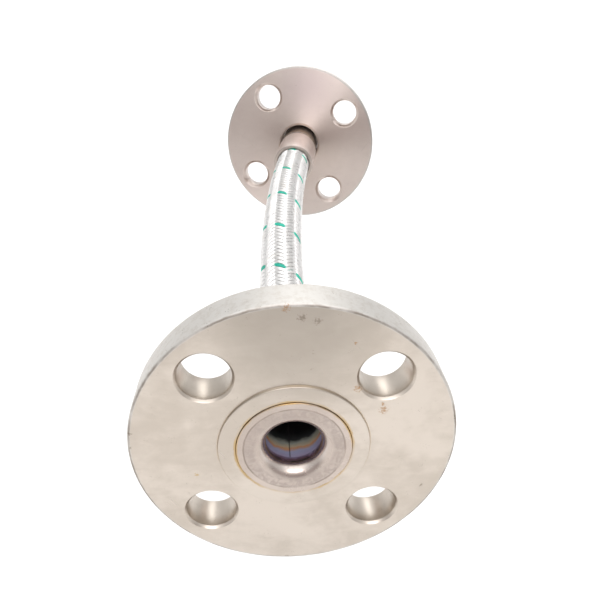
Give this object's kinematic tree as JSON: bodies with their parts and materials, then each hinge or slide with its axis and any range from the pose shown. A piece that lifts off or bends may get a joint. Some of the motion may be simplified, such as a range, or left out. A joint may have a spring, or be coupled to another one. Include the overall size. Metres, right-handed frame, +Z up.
{
  "type": "braided metal hose",
  "caption": "Short braided metal hose between welded pipe stubs, each with a flat lapped collar and a loose drilled flange that turns until it is bolted.",
  "frame": {"origin": "on the surface that the part lies on, under the middle of its bounding box", "axes": "+Y runs along the hose from the near end to the far end, +Z is up, +X is to the right seen from the near end"},
  "size_m": [0.113, 0.2882, 0.0954],
  "materials": {
    "flange_steel": "turned and pickled stainless steel, satin",
    "collar_steel": "turned stainless steel, ground in a ring, satin",
    "pipe_steel": "drawn stainless pipe, heat tinted near its weld",
    "ferrule_steel": "pressed stainless sleeve, satin",
    "weld_metal": "stainless weld bead, cleaned",
    "hose_steel": "thin corrugated stainless, bright",
    "braid_wire": "bright drawn stainless wire, with one green tracer carrier"
  },
  "bodies": {
    "near_end": {"near_lap_collar": "collar_steel", "near_collar_weld": "weld_metal", "near_pipe": "pipe_steel", "near_hose_weld": "weld_metal", "near_ferrule": "ferrule_steel", "hose_link_1": "hose_steel", "braid_link_1": "braid_wire"},
    "near_loose_flange": {"near_flange": "flange_steel"},
    "hose_second": {"hose_link_2": "hose_steel", "braid_link_2": "braid_wire"},
    "hose_third": {"hose_link_3": "hose_steel", "braid_link_3": "braid_wire"},
    "hose_fourth": {"hose_link_4": "hose_steel", "braid_link_4": "braid_wire"},
    "far_end": {"far_lap_collar": "collar_steel", "far_collar_weld": "weld_metal", "far_pipe": "pipe_steel", "far_hose_weld": "weld_metal", "far_ferrule": "ferrule_steel", "hose_link_5": "hose_steel", "braid_link_5": "braid_wire"},
    "far_loose_flange": {"far_flange": "flange_steel"}
  },
  "joints": [
    {"name": "near_flange_turn", "type": "hinge", "parent": "near_end", "child": "near_loose_flange", "pos_m": [-0.00905, -0.14042, 0.04816], "axis": [0, 0.9969, -0.0785], "continuous": true},
    {"name": "hose_bend_1", "type": "hinge", "parent": "near_end", "child": "hose_second", "pos_m": [-0.00913, -0.06361, 0.04286], "axis": [0, 0, 1], "range_deg": [-25, 25]},
    {"name": "hose_bend_2", "type": "hinge", "parent": "hose_second", "child": "hose_third", "pos_m": [-0.00856, -0.02177, 0.0464], "axis": [1, 0, 0], "range_deg": [-25, 25]},
    {"name": "hose_bend_3", "type": "hinge", "parent": "hose_third", "child": "hose_fourth", "pos_m": [-0.00589, 0.02004, 0.04946], "axis": [0, 0, 1], "range_deg": [-25, 25]},
    {"name": "hose_bend_4", "type": "hinge", "parent": "hose_fourth", "child": "far_end", "pos_m": [-0.00108, 0.06176, 0.05018], "axis": [1, 0, 0], "range_deg": [-25, 25]},
    {"name": "far_flange_turn", "type": "hinge", "parent": "far_end", "child": "far_loose_flange", "pos_m": [0.00975, 0.13238, 0.0464], "axis": [-0.162, -0.9682, 0.1908], "continuous": true}
  ],
  "couplings": [
    {"joint": "hose_bend_3", "follows": "hose_bend_1", "ratio": 1},
    {"joint": "hose_bend_4", "follows": "hose_bend_2", "ratio": 1}
  ]
}
